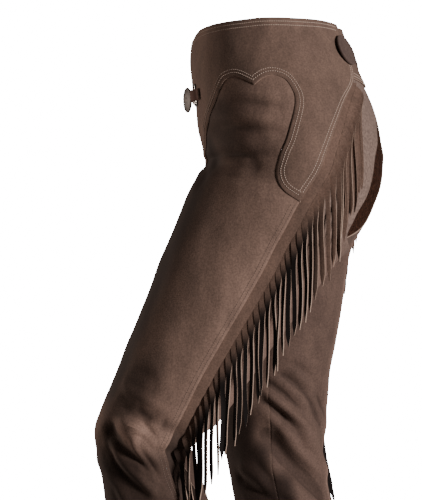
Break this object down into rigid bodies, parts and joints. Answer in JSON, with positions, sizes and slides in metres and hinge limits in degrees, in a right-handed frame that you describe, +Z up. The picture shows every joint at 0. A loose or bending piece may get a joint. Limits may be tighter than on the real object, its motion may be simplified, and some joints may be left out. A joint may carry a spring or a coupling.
{
  "type": "leather chaps",
  "caption": "Brown leather chaps with scalloped hip yokes, long fringed outer seams, a front tie with a round concho, worn in a walking pose.",
  "frame": {"origin": "the middle of the waist opening, where the wearer's waist holds the garment", "axes": "+Z up, the garment's front faces -Y and its left leg is at +X; +Z is the longest extent"},
  "size_m": [0.3736, 0.3725, 0.9796],
  "materials": {
    "yoke_leather": "matte suede",
    "leg_leather": "matte suede",
    "seat_leather": "matte, coarser nap",
    "fringe_leather": "matte suede",
    "disc_leather": "matte",
    "dark_metal": "dark, antiqued",
    "nickel": "polished"
  },
  "bodies": {
    "root": {"back_disc_left": "disc_leather", "back_disc_right": "disc_leather", "back_yoke": "yoke_leather", "fringe_left": "fringe_leather", "fringe_right": "fringe_leather", "front_concho": "dark_metal", "front_ring_left": "nickel", "front_ring_right": "nickel", "front_tie": "fringe_leather", "leg_back_left": "seat_leather", "leg_back_right": "seat_leather", "leg_front_left": "leg_leather", "leg_front_right": "leg_leather", "yoke_left": "yoke_leather", "yoke_right": "yoke_leather"}
  },
  "joints": []
}
